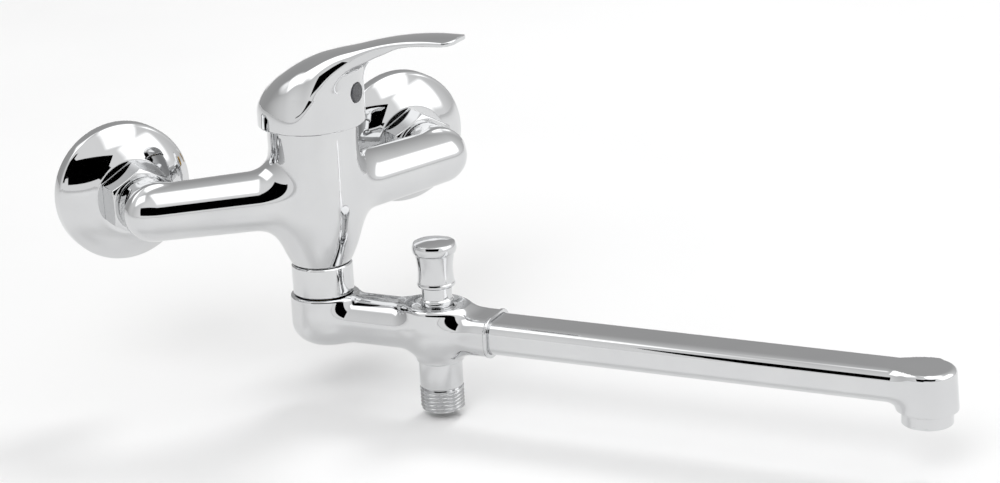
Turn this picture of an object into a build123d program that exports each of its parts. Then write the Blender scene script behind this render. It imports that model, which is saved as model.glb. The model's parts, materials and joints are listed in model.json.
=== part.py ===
from build123d import *
from math import cos, radians, sin, sqrt
import os

# Wall mounted single lever bath mixer with a long swivel spout and a pull-up shower diverter.
# Millimetres. The origin is on the wall plane, midway between the two wall pipe outlets.
# +X runs along the wall to the right, -Y points away from the wall, +Z is up.
# Every height below is measured from the inlet axis, which hangs union_offset under the origin.

os.makedirs("parts", exist_ok=True)

# Driving dimensions: how the faucet hangs on the wall
pipe_spacing = 150.0
half_spacing = pipe_spacing / 2
union_offset = 8.0
inlet_level = -union_offset
body_reach = 63.3
spout_heading = 36.0
lever_heading = 34.5
spout_reach = 300.0

# Pipe threads, drawn as plain cylinders at their major diameter
half_inch = 20.955 / 2
three_quarter_inch = 26.441 / 2
thread_gap = 0.05
running_gap = 0.05
free_gap = 0.3

# Wall flange and union
flange_radius = 33.5
flange_depth = 16.6
union_nut_across_flats = 30.0
union_nut_front = 31.0
wall_thread_length = 15.0
water_bore = 6.5

# Mixer body
housing_radius = 21.6
housing_top = 34.0
arm_level = -1.2
arm_root_radius = 15.0
arm_end_radius = 13.4
arm_end_setback = 44.4
arm_cap_length = 15.2
inlet_face = 31.7
chamber_radius = 17.55
chamber_floor = 8.0
cap_thread_radius = 19.0
spigot_radius = 12.2
collar_seat = -34.6
spigot_end = -44.6

# Swivel joint between body and spout
swivel_radius = 8.5
swivel_bore = 5.0
swivel_flange_radius = 11.2
swivel_nut_radius = 14.7
swivel_nut_end = -49.9

# Cartridge
pivot_height = 31.0
turret_radius = 11.5
stem_width = 8.0
pin_radius = 1.5
ball_height = 20.4
ball_radius = 2.3

# Lever
lever_base = 34.5
lever_hub_radius = 25.6
lever_cavity_radius = 23.2
button_height = 50.6
button_radius = 4.75
button_seat = 23.6

# Diverter body and spout
spout_level = -61.85
diverter_reach = 60.9
elbow_radius = 16.2
elbow_top = -50.4
tube_casting_radius = 12.3
boss_radius = 15.0
boss_top = -49.6
boss_bottom = -78.0
socket_start = 85.0
socket_end = 92.0
socket_size = (26.0, 19.0, 7.0)
spout_size = (23.0, 16.0, 5.5)
spout_wall = 1.3
head_bottom = -73.4
aerator_bottom = -79.8
shower_seat = -73.0
upper_seat = -61.0
shower_thread_start = -91.5
thread_relief = 1.0
shower_end = -102.5
knob_bottom = -41.0

housing_centre = (0, -body_reach)


def heading(degrees):
    """Unit direction in plan, turned from straight out of the wall towards +X."""
    return Vector(sin(radians(degrees)), -cos(radians(degrees)), 0)


def upright(centre, direction, height=0.0):
    """Upright plane through a plan point: local x runs along the direction, local y is up."""
    origin = (centre[0], centre[1], inlet_level + height)
    return Plane(origin=origin, x_dir=direction, z_dir=direction.cross(Vector(0, 0, 1)))


def level(centre, height, direction=Vector(1, 0, 0)):
    """Level plane at a height over a plan point, its local x along the direction."""
    return Plane(origin=(centre[0], centre[1], inlet_level + height), x_dir=direction, z_dir=(0, 0, 1))


def across(centre, direction, distance, height=0.0):
    """Plane square to a direction: local x runs to the side, local y is up."""
    side = Vector(0, 0, 1).cross(direction)
    origin = Vector(centre[0], centre[1], inlet_level + height) + direction * distance
    return Plane(origin=origin, x_dir=side, z_dir=direction)


def outline(plane, points):
    """Closed straight-sided face on a plane."""
    with BuildSketch(plane) as shape:
        with BuildLine():
            Polyline(*points, close=True)
        make_face()
    return shape.sketch


def ring(plane, outer, inner=0.0):
    """Disc, or ring if it has an inner radius, on a plane."""
    with BuildSketch(plane) as shape:
        Circle(outer)
        if inner:
            Circle(inner, mode=Mode.SUBTRACT)
    return shape.sketch


def rounded(plane, size, inset=0.0):
    """Rounded rectangle of (width, height, corner), shrunk all round by the inset."""
    with BuildSketch(plane) as shape:
        RectangleRounded(size[0] - 2 * inset, size[1] - 2 * inset, size[2] - inset)
    return shape.sketch


def save(part, name):
    """Label a finished piece and write it as its own file."""
    part.label = name
    export_step(part, f"parts/{name}.step")


out = heading(0)
spout_way = heading(spout_heading)
lever_way = heading(lever_heading)
housing_side = upright(housing_centre, Vector(1, 0, 0))
housing_axis = Axis((0, -body_reach, 0), (0, 0, 1))
spout_side = upright(housing_centre, spout_way)
lever_side = upright(housing_centre, lever_way)
diverter_point = Vector(0, -body_reach, 0) + spout_way * diverter_reach
diverter_centre = (diverter_point.X, diverter_point.Y)
diverter_axis = Axis((diverter_point.X, diverter_point.Y, 0), (0, 0, 1))
diverter_side = upright(diverter_centre, spout_way)
outlet_point = Vector(0, -body_reach, 0) + spout_way * spout_reach
outlet_centre = (outlet_point.X, outlet_point.Y)
outlet_axis = Axis((outlet_point.X, outlet_point.Y, 0), (0, 0, 1))
outlet_side = upright(outlet_centre, spout_way)


# Wall connection, the same on both sides

def make_s_union(side, name):
    """Eccentric connector: a 1/2 inch wall thread and a lower 3/4 inch thread for the union nut."""
    body_end = 6.0
    front_end = 25.0
    pipe = (side * half_spacing, 0)
    inlet = (side * half_spacing, inlet_level)
    with BuildPart() as s_union:
        with BuildSketch(Plane.XZ.offset(-wall_thread_length)):
            with Locations(pipe):
                Circle(half_inch)
        extrude(amount=wall_thread_length)
        chamfer(s_union.edges().sort_by(Axis.Y)[-1], 1.0)
        with BuildSketch(Plane.XZ):
            with Locations(pipe):
                Circle(half_inch + 1.2)
            with Locations(inlet):
                Circle(three_quarter_inch)
            make_hull()
        extrude(amount=body_end)
        with BuildSketch(Plane.XZ.offset(body_end)):
            with Locations(inlet):
                Circle(three_quarter_inch)
        extrude(amount=front_end - body_end)
        with BuildSketch(Plane.XZ.offset(-wall_thread_length)):
            with Locations(pipe):
                Circle(water_bore)
        extrude(amount=wall_thread_length + 4.2, mode=Mode.SUBTRACT)
        with BuildSketch(Plane.XZ.offset(1.6)):
            with Locations(inlet):
                Circle(water_bore + 0.5)
        extrude(amount=front_end, mode=Mode.SUBTRACT)
    save(s_union.part, name)


def make_wall_flange(side, name):
    """Bell shaped cover, screwed along the 3/4 inch thread until its rim meets the wall."""
    skin = 1.3
    rim = 6.2
    neck = 18.4
    side_plane = Plane(
        origin=(side * half_spacing, 0, inlet_level), x_dir=(1, 0, 0), z_dir=(0, 0, -1)
    )
    with BuildPart() as flange:
        with BuildSketch(side_plane):
            with BuildLine():
                Line((flange_radius, 0), (flange_radius, rim))
                Line((flange_radius, rim), (flange_radius - 1.2, rim + 1.4))
                ThreePointArc((flange_radius - 1.2, rim + 1.4), (27.4, 12.2), (neck, flange_depth))
                Line((neck, flange_depth), (three_quarter_inch + thread_gap, flange_depth))
                Line((three_quarter_inch + thread_gap, flange_depth), (three_quarter_inch + thread_gap, 11.0))
                Line((three_quarter_inch + thread_gap, 11.0), (16.6, 11.0))
                Line((16.6, 11.0), (17.4, flange_depth - 1.6))
                ThreePointArc(
                    (17.4, flange_depth - 1.6), (26.2, 11.2), (flange_radius - 1.2 - skin, rim + 0.4)
                )
                Line((flange_radius - 1.2 - skin, rim + 0.4), (flange_radius - skin, rim - 1.0))
                Line((flange_radius - skin, rim - 1.0), (flange_radius - skin, 0))
                Line((flange_radius - skin, 0), (flange_radius, 0))
            make_face()
        revolve(axis=Axis((side * half_spacing, 0, inlet_level), (0, -1, 0)))
    save(flange.part, name)


def make_union_nut(side, name):
    """Hexagon nut on the 3/4 inch thread, its back wall behind the nipple's collar."""
    nut_back = flange_depth + 0.1
    lip = 1.6
    centre = Plane.XZ.offset(nut_back)
    with BuildPart() as nut:
        with BuildSketch(centre):
            with Locations((side * half_spacing, inlet_level)):
                RegularPolygon(union_nut_across_flats / 2, 6, major_radius=False, rotation=90)
        extrude(amount=union_nut_front - nut_back)
        with BuildSketch(centre):
            with Locations((side * half_spacing, inlet_level)):
                Circle(three_quarter_inch + thread_gap)
        extrude(amount=union_nut_front - nut_back - lip, mode=Mode.SUBTRACT)
        with BuildSketch(centre):
            with Locations((side * half_spacing, inlet_level)):
                Circle(half_inch + 0.2)
        extrude(amount=union_nut_front - nut_back, mode=Mode.SUBTRACT)
        corners = nut.edges().filter_by(GeomType.LINE).filter_by(Axis.Y)
        fillet(corners, 0.8)
    save(nut.part, name)


def make_inlet_nipple(side, name):
    """Threaded tail screwed into the body, with the collar that the union nut pulls on."""
    centre = (side * half_spacing, 0)
    with BuildPart() as nipple:
        with BuildSketch(across(centre, out, 27.1)):
            Circle(12.4)
        extrude(amount=2.2)
        with BuildSketch(across(centre, out, 29.3)):
            Circle(half_inch)
        extrude(amount=13.5)
        with BuildSketch(across(centre, out, 27.1)):
            Circle(water_bore + 0.5)
        extrude(amount=15.7, mode=Mode.SUBTRACT)
    save(nipple.part, name)


def make_inlet_gasket(side, name):
    """Flat fibre washer between the S-union's end and the nipple's collar."""
    with BuildPart() as gasket:
        extrude(ring(across((side * half_spacing, 0), out, 25.05), 12.0, 7.5), amount=2.0)
    save(gasket.part, name)


for side, side_name in ((-1, "left"), (1, "right")):
    make_s_union(side, f"{side_name}_s_union")
    make_wall_flange(side, f"{side_name}_wall_flange")
    make_union_nut(side, f"{side_name}_union_nut")
    make_inlet_nipple(side, f"{side_name}_inlet_nipple")
    make_inlet_gasket(side, f"{side_name}_inlet_gasket")


# Mixer body: upright housing, two swept-back arms, and the threaded spigot for the spout

arm_run = sqrt(half_spacing**2 + (body_reach - arm_end_setback) ** 2)
arm_bore_start = 7.0
arm_bore_end = arm_run - 4.0

with BuildPart() as mixer_body:
    with BuildSketch(housing_side):
        with BuildLine():
            Line((0, housing_top), (housing_radius - 0.6, housing_top))
            Line((housing_radius - 0.6, housing_top), (housing_radius, housing_top - 0.6))
            Line((housing_radius, housing_top - 0.6), (housing_radius, -8))
            ThreePointArc((housing_radius, -8), (19.6, -21.8), (14.3, collar_seat))
            Line((14.3, collar_seat), (spigot_radius, collar_seat))
            Line((spigot_radius, collar_seat), (spigot_radius, spigot_end))
            Line((spigot_radius, spigot_end), (0, spigot_end))
            Line((0, spigot_end), (0, housing_top))
        make_face()
    revolve(axis=housing_axis)
    for side in (-1, 1):
        arm_way = Vector(side * half_spacing, body_reach - arm_end_setback, 0).normalized()
        with BuildSketch(upright(housing_centre, arm_way, arm_level)):
            with BuildLine():
                Line((0, 0), (0, arm_root_radius))
                Line((0, arm_root_radius), (arm_run, arm_end_radius))
                EllipticalCenterArc((arm_run, 0), arm_cap_length, arm_end_radius, start_angle=0, arc_size=90)
                Line((arm_run + arm_cap_length, 0), (0, 0))
            make_face()
        arm_axis = Axis((0, -body_reach, inlet_level + arm_level), arm_way)
        revolve(axis=arm_axis)
        inlet_centre = (side * half_spacing, 0)
        extrude(ring(across(inlet_centre, out, inlet_face), 13.2), amount=arm_end_setback - inlet_face)
        extrude(ring(across(inlet_centre, out, 0), 18.0), amount=inlet_face, mode=Mode.SUBTRACT)
        extrude(
            ring(across(inlet_centre, out, inlet_face), half_inch + thread_gap),
            amount=arm_end_setback - inlet_face,
            mode=Mode.SUBTRACT,
        )
        with BuildSketch(across(housing_centre, arm_way, arm_bore_start, arm_level)):
            Circle(water_bore)
        extrude(amount=arm_bore_end - arm_bore_start, mode=Mode.SUBTRACT)
        with BuildSketch(level((side * 8.5, -body_reach + 3.5), arm_level)):
            Circle(3.2)
        extrude(amount=chamber_floor - arm_level, mode=Mode.SUBTRACT)
    extrude(ring(level(housing_centre, chamber_floor), chamber_radius), amount=30, mode=Mode.SUBTRACT)
    extrude(ring(level(housing_centre, 26.0), cap_thread_radius + thread_gap), amount=10, mode=Mode.SUBTRACT)
    extrude(ring(level((0, -body_reach - 7.5), -27.0), 4.0), amount=40, mode=Mode.SUBTRACT)
    extrude(
        ring(level(housing_centre, spigot_end), swivel_radius + running_gap),
        amount=20.6,
        mode=Mode.SUBTRACT,
    )
save(mixer_body.part, "mixer_body")


# Cartridge, held in the housing by a ring nut under the lever

with BuildPart() as cartridge_body:
    body_profile = [
        (15.1, 8.9),
        (17.4, 8.9),
        (17.4, 29.9),
        (turret_radius + 0.08, 29.9),
        (turret_radius + 0.08, 27.0),
        (15.1, 27.0),
    ]
    revolve(outline(housing_side, body_profile), axis=housing_axis)
save(cartridge_body.part, "cartridge_body")

port_places = [(-8.5, 3.5), (8.5, 3.5), (0, -7.5)]

with BuildPart() as cartridge_base:
    extrude(ring(level(housing_centre, 8.9), 15.0), amount=2.1)
    with BuildSketch(level(housing_centre, 8.9)):
        with Locations(*port_places):
            Circle(3.2)
    extrude(amount=2.1, mode=Mode.SUBTRACT)
save(cartridge_base.part, "cartridge_base")

with BuildPart() as cartridge_port_seals:
    with BuildSketch(level(housing_centre, chamber_floor + 0.05)):
        with Locations(*port_places):
            Circle(4.4)
            Circle(3.4, mode=Mode.SUBTRACT)
    extrude(amount=0.8)
save(cartridge_port_seals.part, "cartridge_port_seals")

with BuildPart() as cartridge_fixed_disc:
    extrude(ring(level(housing_centre, 11.0), 14.9), amount=3.5)
    with BuildSketch(level(housing_centre, 11.0)):
        with Locations(*port_places):
            SlotOverall(6.4, 4.6)
    extrude(amount=3.5, mode=Mode.SUBTRACT)
save(cartridge_fixed_disc.part, "cartridge_fixed_disc")

with BuildPart() as cartridge_moving_disc:
    extrude(ring(level(housing_centre, 14.6), 10.2), amount=3.1)
    with BuildSketch(level(housing_centre, 14.6, lever_way)):
        SlotOverall(12.0, 7.0)
    extrude(amount=1.6, mode=Mode.SUBTRACT)
save(cartridge_moving_disc.part, "cartridge_moving_disc")

with BuildPart() as cartridge_disc_carrier:
    extrude(ring(level(housing_centre, 17.75), 9.8), amount=4.45)
    extrude(ring(level(housing_centre, 17.75), ball_radius + free_gap), amount=4.45, mode=Mode.SUBTRACT)
save(cartridge_disc_carrier.part, "cartridge_disc_carrier")

with BuildPart() as cartridge_turret:
    turret_profile = [(0, 22.6), (14.6, 22.6), (14.6, 26.7), (turret_radius, 26.7), (turret_radius, 36), (0, 36)]
    revolve(outline(housing_side, turret_profile), axis=housing_axis)
    with BuildSketch(level(housing_centre, 22.6, lever_way)):
        Rectangle(14.8, stem_width + 2 * free_gap)
    extrude(amount=13.4, mode=Mode.SUBTRACT)
    with BuildSketch(lever_side):
        with Locations((0, pivot_height)):
            Circle(pin_radius + 0.01)
    extrude(amount=turret_radius, both=True, mode=Mode.SUBTRACT)
save(cartridge_turret.part, "cartridge_turret")

with BuildPart() as lever_pivot_pin:
    with BuildSketch(lever_side):
        with Locations((0, pivot_height)):
            Circle(pin_radius)
    extrude(amount=turret_radius - 0.8, both=True)
save(lever_pivot_pin.part, "lever_pivot_pin")

stem_top = 54.0
with BuildPart() as cartridge_stem:
    with BuildSketch(level(housing_centre, 25.0, lever_way)):
        Rectangle(stem_width, stem_width)
    extrude(amount=stem_top - 25.0)
    chamfer(cartridge_stem.faces().sort_by(Axis.Z)[-1].edges(), 0.6)
    with BuildSketch(level(housing_centre, ball_height)):
        Circle(1.7)
    extrude(amount=25.0 - ball_height)
    with Locations((0, -body_reach, inlet_level + ball_height)):
        Sphere(ball_radius)
    with BuildSketch(lever_side):
        with Locations((0, pivot_height)):
            Circle(pin_radius + running_gap)
    extrude(amount=stem_width, both=True, mode=Mode.SUBTRACT)
save(cartridge_stem.part, "cartridge_stem")

with BuildPart() as cartridge_nut:
    nut_profile = [(12.4, 30.0), (cap_thread_radius, 30.0), (cap_thread_radius, 34.0), (17.4, 34.0), (17.4, 36.2), (12.4, 36.2)]
    revolve(outline(housing_side, nut_profile), axis=housing_axis)
    with BuildSketch(level(housing_centre, 34.0)):
        with PolarLocations(17.4, 6):
            Rectangle(3.4, 5.0)
    extrude(amount=2.2, mode=Mode.SUBTRACT)
save(cartridge_nut.part, "cartridge_nut")


# Lever: a domed hub over the cartridge, drawn out into a flat grip

grip_tip = 81.6
grip_half_width = 9.6

with BuildPart() as lever_handle:
    with BuildSketch(lever_side):
        with BuildLine():
            Line((-lever_hub_radius, lever_base), (lever_hub_radius, lever_base))
            Line((lever_hub_radius, lever_base), (lever_hub_radius, 57))
            Spline(
                (lever_hub_radius, 57), (30, 63.5), (36.6, 67.4), (47.5, 72.8), (58.7, 76.6),
                (70, 77.8), (grip_tip, 78.6),
            )
            Line((grip_tip, 78.6), (grip_tip, 81.4))
            Spline(
                (grip_tip, 81.4), (66.0, 81.4), (46.0, 78.8), (26.0, 73.6), (6.0, 68.0), (-10.0, 59.8),
                (-20.4, 51.2), (-24.4, 41.0), (-lever_hub_radius, lever_base),
            )
        make_face()
    extrude(amount=30, both=True)
    with BuildSketch(level(housing_centre, lever_base - 1, lever_way)):
        Circle(lever_hub_radius)
        with BuildLine():
            Line((0, -22), (0, 22))
            Spline((0, 22), (24, 14.5), (48, 10.6), (76, grip_half_width))
            ThreePointArc((76, grip_half_width), (80, 7.2), (grip_tip, 0))
            ThreePointArc((grip_tip, 0), (80, -7.2), (76, -grip_half_width))
            Spline((76, -grip_half_width), (48, -10.6), (24, -14.5), (0, -22))
        make_face()
    extrude(amount=60, mode=Mode.INTERSECT)
    with BuildSketch(across(housing_centre, lever_way, -40)):
        with BuildLine():
            Line((-lever_hub_radius, lever_base), (lever_hub_radius, lever_base))
            Spline((lever_hub_radius, lever_base), (24.4, 46), (21.4, 61), (15.0, 70), (10.5, 78.5), (0, 82.4))
            Spline((0, 82.4), (-10.5, 78.5), (-15.0, 70), (-21.4, 61), (-24.4, 46), (-lever_hub_radius, lever_base))
        make_face()
    extrude(amount=140, mode=Mode.INTERSECT)
    cavity_profile = [
        (0, lever_base - 0.5), (lever_cavity_radius, lever_base - 0.5), (lever_cavity_radius, 40.0),
        (13.0, 54.5), (0, 54.5),
    ]
    revolve(outline(housing_side, cavity_profile), axis=housing_axis, mode=Mode.SUBTRACT)
    extrude(ring(level(housing_centre, 42.2), 8.6), amount=14.0)
    with BuildSketch(level(housing_centre, 45.5, lever_way)):
        with Locations((11.5, 0)):
            Rectangle(23.0, 11.0)
    extrude(amount=10.5)
    with BuildSketch(level(housing_centre, 42.2, lever_way)):
        Rectangle(stem_width + 2 * running_gap, stem_width + 2 * running_gap)
    extrude(amount=stem_top + 0.3 - 42.2, mode=Mode.SUBTRACT)
    with BuildSketch(across(housing_centre, lever_way, 4.0, button_height)):
        Circle(2.55)
    extrude(amount=30, mode=Mode.SUBTRACT)
    with BuildSketch(across(housing_centre, lever_way, button_seat, button_height)):
        Circle(button_radius + 0.05)
    extrude(amount=10, mode=Mode.SUBTRACT)
save(lever_handle.part, "lever_handle")

with BuildPart() as lever_set_screw:
    with BuildSketch(across(housing_centre, lever_way, stem_width / 2 + 0.05, button_height)):
        Circle(2.5)
    extrude(amount=9.0)
    with BuildSketch(across(housing_centre, lever_way, stem_width / 2 + 6.0, button_height)):
        RegularPolygon(1.25, 6, major_radius=False)
    extrude(amount=4.0, mode=Mode.SUBTRACT)
save(lever_set_screw.part, "lever_set_screw")

with BuildPart() as index_button:
    with BuildSketch(across(housing_centre, lever_way, button_seat + 0.1, button_height)):
        Circle(button_radius)
    extrude(amount=lever_hub_radius + 0.3 - button_seat)
    fillet(index_button.faces().sort_by(Axis(Vector(0, 0, 0), lever_way))[-1].edges(), 0.5)
save(index_button.part, "index_button")


# Swivel joint under the body: a captive nipple turns inside the union nut

with BuildPart() as swivel_union_nut:
    swivel_nut_profile = [
        (spigot_radius + thread_gap, -35.1), (swivel_nut_radius - 0.7, -35.1), (swivel_nut_radius, -35.8),
        (swivel_nut_radius, swivel_nut_end + 0.5), (swivel_nut_radius - 0.5, swivel_nut_end),
        (9.6, swivel_nut_end), (9.6, -48.0), (spigot_radius + thread_gap, -48.0),
    ]
    revolve(outline(housing_side, swivel_nut_profile), axis=housing_axis)
save(swivel_union_nut.part, "swivel_union_nut")

seal_heights = (-30.0, -38.0)
seal_section = 0.95
seal_floor = 6.55

with BuildPart() as swivel_nipple:
    nipple_profile = [
        (swivel_bore, -25.0), (swivel_radius - 0.6, -25.0), (swivel_radius, -25.6), (swivel_radius, -44.9),
        (swivel_flange_radius, -44.9), (swivel_flange_radius, -46.9), (9.3, -46.9), (9.3, -58.0),
        (swivel_bore, -58.0),
    ]
    revolve(outline(housing_side, nipple_profile), axis=housing_axis)
    for seal_height in seal_heights:
        groove = [
            (seal_floor, seal_height - 1.15), (swivel_radius + 1, seal_height - 1.15),
            (swivel_radius + 1, seal_height + 1.15), (seal_floor, seal_height + 1.15),
        ]
        revolve(outline(housing_side, groove), axis=housing_axis, mode=Mode.SUBTRACT)
save(swivel_nipple.part, "swivel_nipple")

with BuildPart() as swivel_o_rings:
    for seal_height in seal_heights:
        with BuildSketch(housing_side):
            with Locations((seal_floor + 0.02 + seal_section, seal_height)):
                Circle(seal_section)
        revolve(axis=housing_axis)
save(swivel_o_rings.part, "swivel_o_rings")

with BuildPart() as swivel_slip_ring:
    extrude(ring(level(housing_centre, -47.9), 11.4, 9.7), amount=0.95)
save(swivel_slip_ring.part, "swivel_slip_ring")


# Diverter body: elbow, horizontal run, valve boss and spout socket in one casting

with BuildPart() as diverter_body:
    with BuildSketch(housing_side):
        with BuildLine():
            Line((0, elbow_top), (elbow_radius - 1.0, elbow_top))
            Line((elbow_radius - 1.0, elbow_top), (elbow_radius, elbow_top - 1.0))
            Line((elbow_radius, elbow_top - 1.0), (elbow_radius, -63))
            ThreePointArc((elbow_radius, -63), (12.4, -71.6), (0, -75.2))
            Line((0, -75.2), (0, elbow_top))
        make_face()
    revolve(axis=housing_axis)
    extrude(ring(across(housing_centre, spout_way, 0, spout_level), tube_casting_radius), amount=78)
    with BuildSketch(across(housing_centre, spout_way, 74, spout_level)):
        Circle(tube_casting_radius)
    with BuildSketch(across(housing_centre, spout_way, socket_start, spout_level)):
        RectangleRounded(*socket_size)
    loft()
    extrude(
        rounded(across(housing_centre, spout_way, socket_start, spout_level), socket_size),
        amount=socket_end - socket_start,
    )
    boss_profile = [
        (0, boss_top), (boss_radius - 2.2, boss_top), (boss_radius - 0.6, boss_top - 0.8),
        (boss_radius, boss_top - 2.6), (boss_radius, -65.0), (13.6, -72.0), (11.1, -76.6),
        (11.1, boss_bottom), (0, boss_bottom),
    ]
    revolve(outline(diverter_side, boss_profile), axis=diverter_axis)
    extrude(ring(level(housing_centre, elbow_top), elbow_radius + 0.4), amount=6, mode=Mode.SUBTRACT)
    # Water path: swivel bore, low run to the valve, lower chamber, seat, upper chamber, spout port
    extrude(ring(level(housing_centre, -58.0), 9.3 + thread_gap), amount=10, mode=Mode.SUBTRACT)
    extrude(ring(level(housing_centre, -71.0), 7.0), amount=14, mode=Mode.SUBTRACT)
    extrude(
        ring(across(housing_centre, spout_way, 0, -67.0), 5.4),
        amount=diverter_reach,
        mode=Mode.SUBTRACT,
    )
    extrude(
        ring(level(diverter_centre, boss_bottom), 8.65), amount=upper_seat - boss_bottom, mode=Mode.SUBTRACT
    )
    extrude(ring(level(diverter_centre, upper_seat - 1), 5.8), amount=4, mode=Mode.SUBTRACT)
    extrude(ring(level(diverter_centre, upper_seat + 1.5), 8.0), amount=5.0, mode=Mode.SUBTRACT)
    extrude(ring(level(diverter_centre, -55), 7.0 + thread_gap), amount=8, mode=Mode.SUBTRACT)
    with BuildSketch(across(housing_centre, spout_way, diverter_reach, -57.2)):
        Rectangle(11.0, 4.6)
    extrude(amount=socket_start - diverter_reach, mode=Mode.SUBTRACT)
    extrude(
        rounded(across(housing_centre, spout_way, socket_start, spout_level), spout_size, -0.05),
        amount=10,
        mode=Mode.SUBTRACT,
    )
save(diverter_body.part, "diverter_body")

with BuildPart() as shower_outlet_nipple:
    shower_profile = [
        (water_bore, shower_seat), (8.6, shower_seat), (8.6, boss_bottom - 0.05), (10.35, boss_bottom - 0.05),
        (10.35, shower_thread_start + thread_relief), (9.7, shower_thread_start + thread_relief),
        (9.7, shower_thread_start), (half_inch, shower_thread_start), (half_inch, shower_end + 1.0),
        (half_inch - 1.0, shower_end), (water_bore, shower_end),
    ]
    revolve(outline(diverter_side, shower_profile), axis=diverter_axis)
save(shower_outlet_nipple.part, "shower_outlet_nipple")

with BuildPart() as diverter_bonnet:
    bonnet_profile = [
        (3.05, -54.5), (7.0, -54.5), (7.0, boss_top + 0.05), (7.9, boss_top + 0.05), (7.9, -47.4),
        (7.2, -46.8), (7.2, -30.3), (5.2, -30.3), (5.2, -43.0), (3.05, -43.0),
    ]
    revolve(outline(diverter_side, bonnet_profile), axis=diverter_axis)
    seal_groove = [(2.9, -51.0), (4.65, -51.0), (4.65, -49.3), (2.9, -49.3)]
    revolve(outline(diverter_side, seal_groove), axis=diverter_axis, mode=Mode.SUBTRACT)
save(diverter_bonnet.part, "diverter_bonnet")

with BuildPart() as diverter_spindle_seal:
    with BuildSketch(diverter_side):
        with Locations((3.87, -50.15)):
            Circle(0.75)
    revolve(axis=diverter_axis)
save(diverter_spindle_seal.part, "diverter_spindle_seal")

with BuildPart() as diverter_knob:
    with BuildSketch(diverter_side):
        with BuildLine():
            Line((7.5, knob_bottom), (8.5, knob_bottom))
            ThreePointArc((8.5, knob_bottom), (9.1, -39.9), (8.75, -38.8))
            ThreePointArc((8.75, -38.8), (8.4, -31.5), (9.4, -25.0))
            Line((9.4, -25.0), (10.0, -24.2))
            ThreePointArc((10.0, -24.2), (10.55, -21.6), (9.9, -19.6))
            TangentArc((0, -18.4), (9.9, -19.6), tangent=(1, 0))
            Line((0, -18.4), (0, -21.6))
            Line((0, -21.6), (2.55, -21.6))
            Line((2.55, -21.6), (2.55, -28.5))
            Line((2.55, -28.5), (7.5, -28.5))
            Line((7.5, -28.5), (7.5, knob_bottom))
        make_face()
    revolve(axis=diverter_axis)
save(diverter_knob.part, "diverter_knob")

with BuildPart() as diverter_spindle:
    spindle_profile = [
        (0, -75.6), (2.0, -75.6), (2.0, -74.6), (1.5, -74.6), (1.5, -74.0), (2.0, -74.0), (2.0, -69.8),
        (5.0, -69.8), (5.0, -69.1), (3.0, -69.1), (3.0, -28.6), (2.5, -28.6), (2.5, -22.0), (0, -22.0),
    ]
    revolve(outline(diverter_side, spindle_profile), axis=diverter_axis)
save(diverter_spindle.part, "diverter_spindle")

with BuildPart() as diverter_valve_disc:
    extrude(ring(level(diverter_centre, -72.9), 7.6, 2.03), amount=3.0)
save(diverter_valve_disc.part, "diverter_valve_disc")

with BuildPart() as diverter_disc_clip:
    extrude(ring(level(diverter_centre, -74.55), 4.0, 1.55), amount=0.5)
save(diverter_disc_clip.part, "diverter_disc_clip")

spring_radius = 4.5
spring_wire = 0.42
spring_low = -68.6
spring_high = -55.0
spring_turns = 5
spring_base = level(diverter_centre, spring_low, spout_way)
with BuildPart() as diverter_spring:
    with BuildLine(spring_base) as coil:
        Helix((spring_high - spring_low) / spring_turns, spring_high - spring_low, spring_radius)
    with BuildSketch(Plane(origin=coil.line @ 0, z_dir=coil.line % 0)):
        Circle(spring_wire)
    sweep(is_frenet=True)
save(diverter_spring.part, "diverter_spring")


# Long spout with its outlet head, and the aerator in it

head_top_radius = 12.9
head_low_radius = 14.0
tube_start = socket_start + 1.0
tube_top = spout_level + spout_size[1] / 2

with BuildPart() as spout_tube:
    extrude(
        rounded(across(housing_centre, spout_way, tube_start, spout_level), spout_size),
        amount=spout_reach - tube_start,
    )
    head_profile = [
        (0, tube_top), (head_top_radius - 1.2, tube_top), (head_top_radius, tube_top - 1.2),
        (head_low_radius, head_bottom), (0, head_bottom),
    ]
    revolve(outline(outlet_side, head_profile), axis=outlet_axis)
    extrude(
        rounded(across(housing_centre, spout_way, tube_start, spout_level), spout_size, spout_wall),
        amount=spout_reach - 13.5 - tube_start,
        mode=Mode.SUBTRACT,
    )
    with BuildSketch(across(housing_centre, spout_way, spout_reach - 15, -59.6)):
        Rectangle(14.0, 6.4)
    extrude(amount=15, mode=Mode.SUBTRACT)
    bore_profile = [(0, head_bottom), (11.05, head_bottom), (11.05, -63.4), (9.0, -63.4), (9.0, -56.4), (0, -56.4)]
    revolve(outline(outlet_side, bore_profile), axis=outlet_axis, mode=Mode.SUBTRACT)
save(spout_tube.part, "spout_tube")

with BuildPart() as spout_socket_seal:
    with BuildSketch(across(housing_centre, spout_way, socket_start + 0.05, spout_level)):
        RectangleRounded(22.8, 15.8, 5.4)
        RectangleRounded(19.4, 12.4, 3.7, mode=Mode.SUBTRACT)
    extrude(amount=0.9)
save(spout_socket_seal.part, "spout_socket_seal")

with BuildPart() as aerator_housing:
    aerator_profile = [
        (9.7, -65.4), (11.0, -65.4), (11.0, head_bottom - 0.1), (11.6, head_bottom - 0.1),
        (11.6, aerator_bottom + 0.6), (11.0, aerator_bottom), (8.8, aerator_bottom), (8.8, -78.9), (9.7, -78.9),
    ]
    revolve(outline(outlet_side, aerator_profile), axis=outlet_axis)
    # Two key flats for taking the aerator out
    for turn in (0, 180):
        with BuildSketch(level(outlet_centre, aerator_bottom - 1, heading(spout_heading + 90 + turn))):
            with Locations((15.9, 0)):
                Rectangle(10.0, 12.0)
        extrude(amount=4.0, mode=Mode.SUBTRACT)
save(aerator_housing.part, "aerator_housing")

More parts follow.
